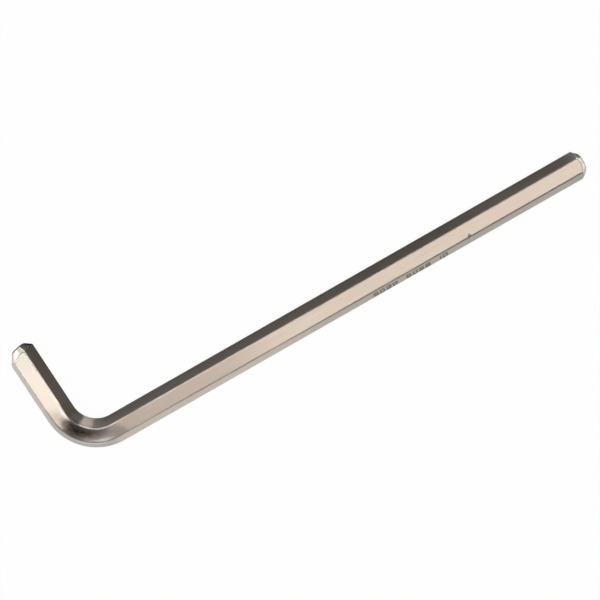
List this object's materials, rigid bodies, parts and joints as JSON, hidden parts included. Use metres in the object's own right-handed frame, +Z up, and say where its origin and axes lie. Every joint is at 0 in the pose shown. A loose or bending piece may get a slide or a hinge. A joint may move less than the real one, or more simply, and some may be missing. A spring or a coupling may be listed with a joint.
{
  "type": "hex key",
  "caption": "L-shaped hexagonal key bar with a long arm, a short arm and chamfered tips, for turning hex socket screws.",
  "frame": {"origin": "under the middle of the key's outline, on the surface that it lies on", "axes": "+X along the long arm to its tip, +Y from the long arm towards the short arm's tip, +Z up from the flat that it lies on"},
  "size_m": [0.2254, 0.051, 0.0105],
  "materials": {
    "nickel_plate": "satin nickel plate over drawn and hardened tool steel, with the drawing lines running along the bar"
  },
  "bodies": {
    "root": {"hex_key": "nickel_plate"}
  },
  "joints": []
}
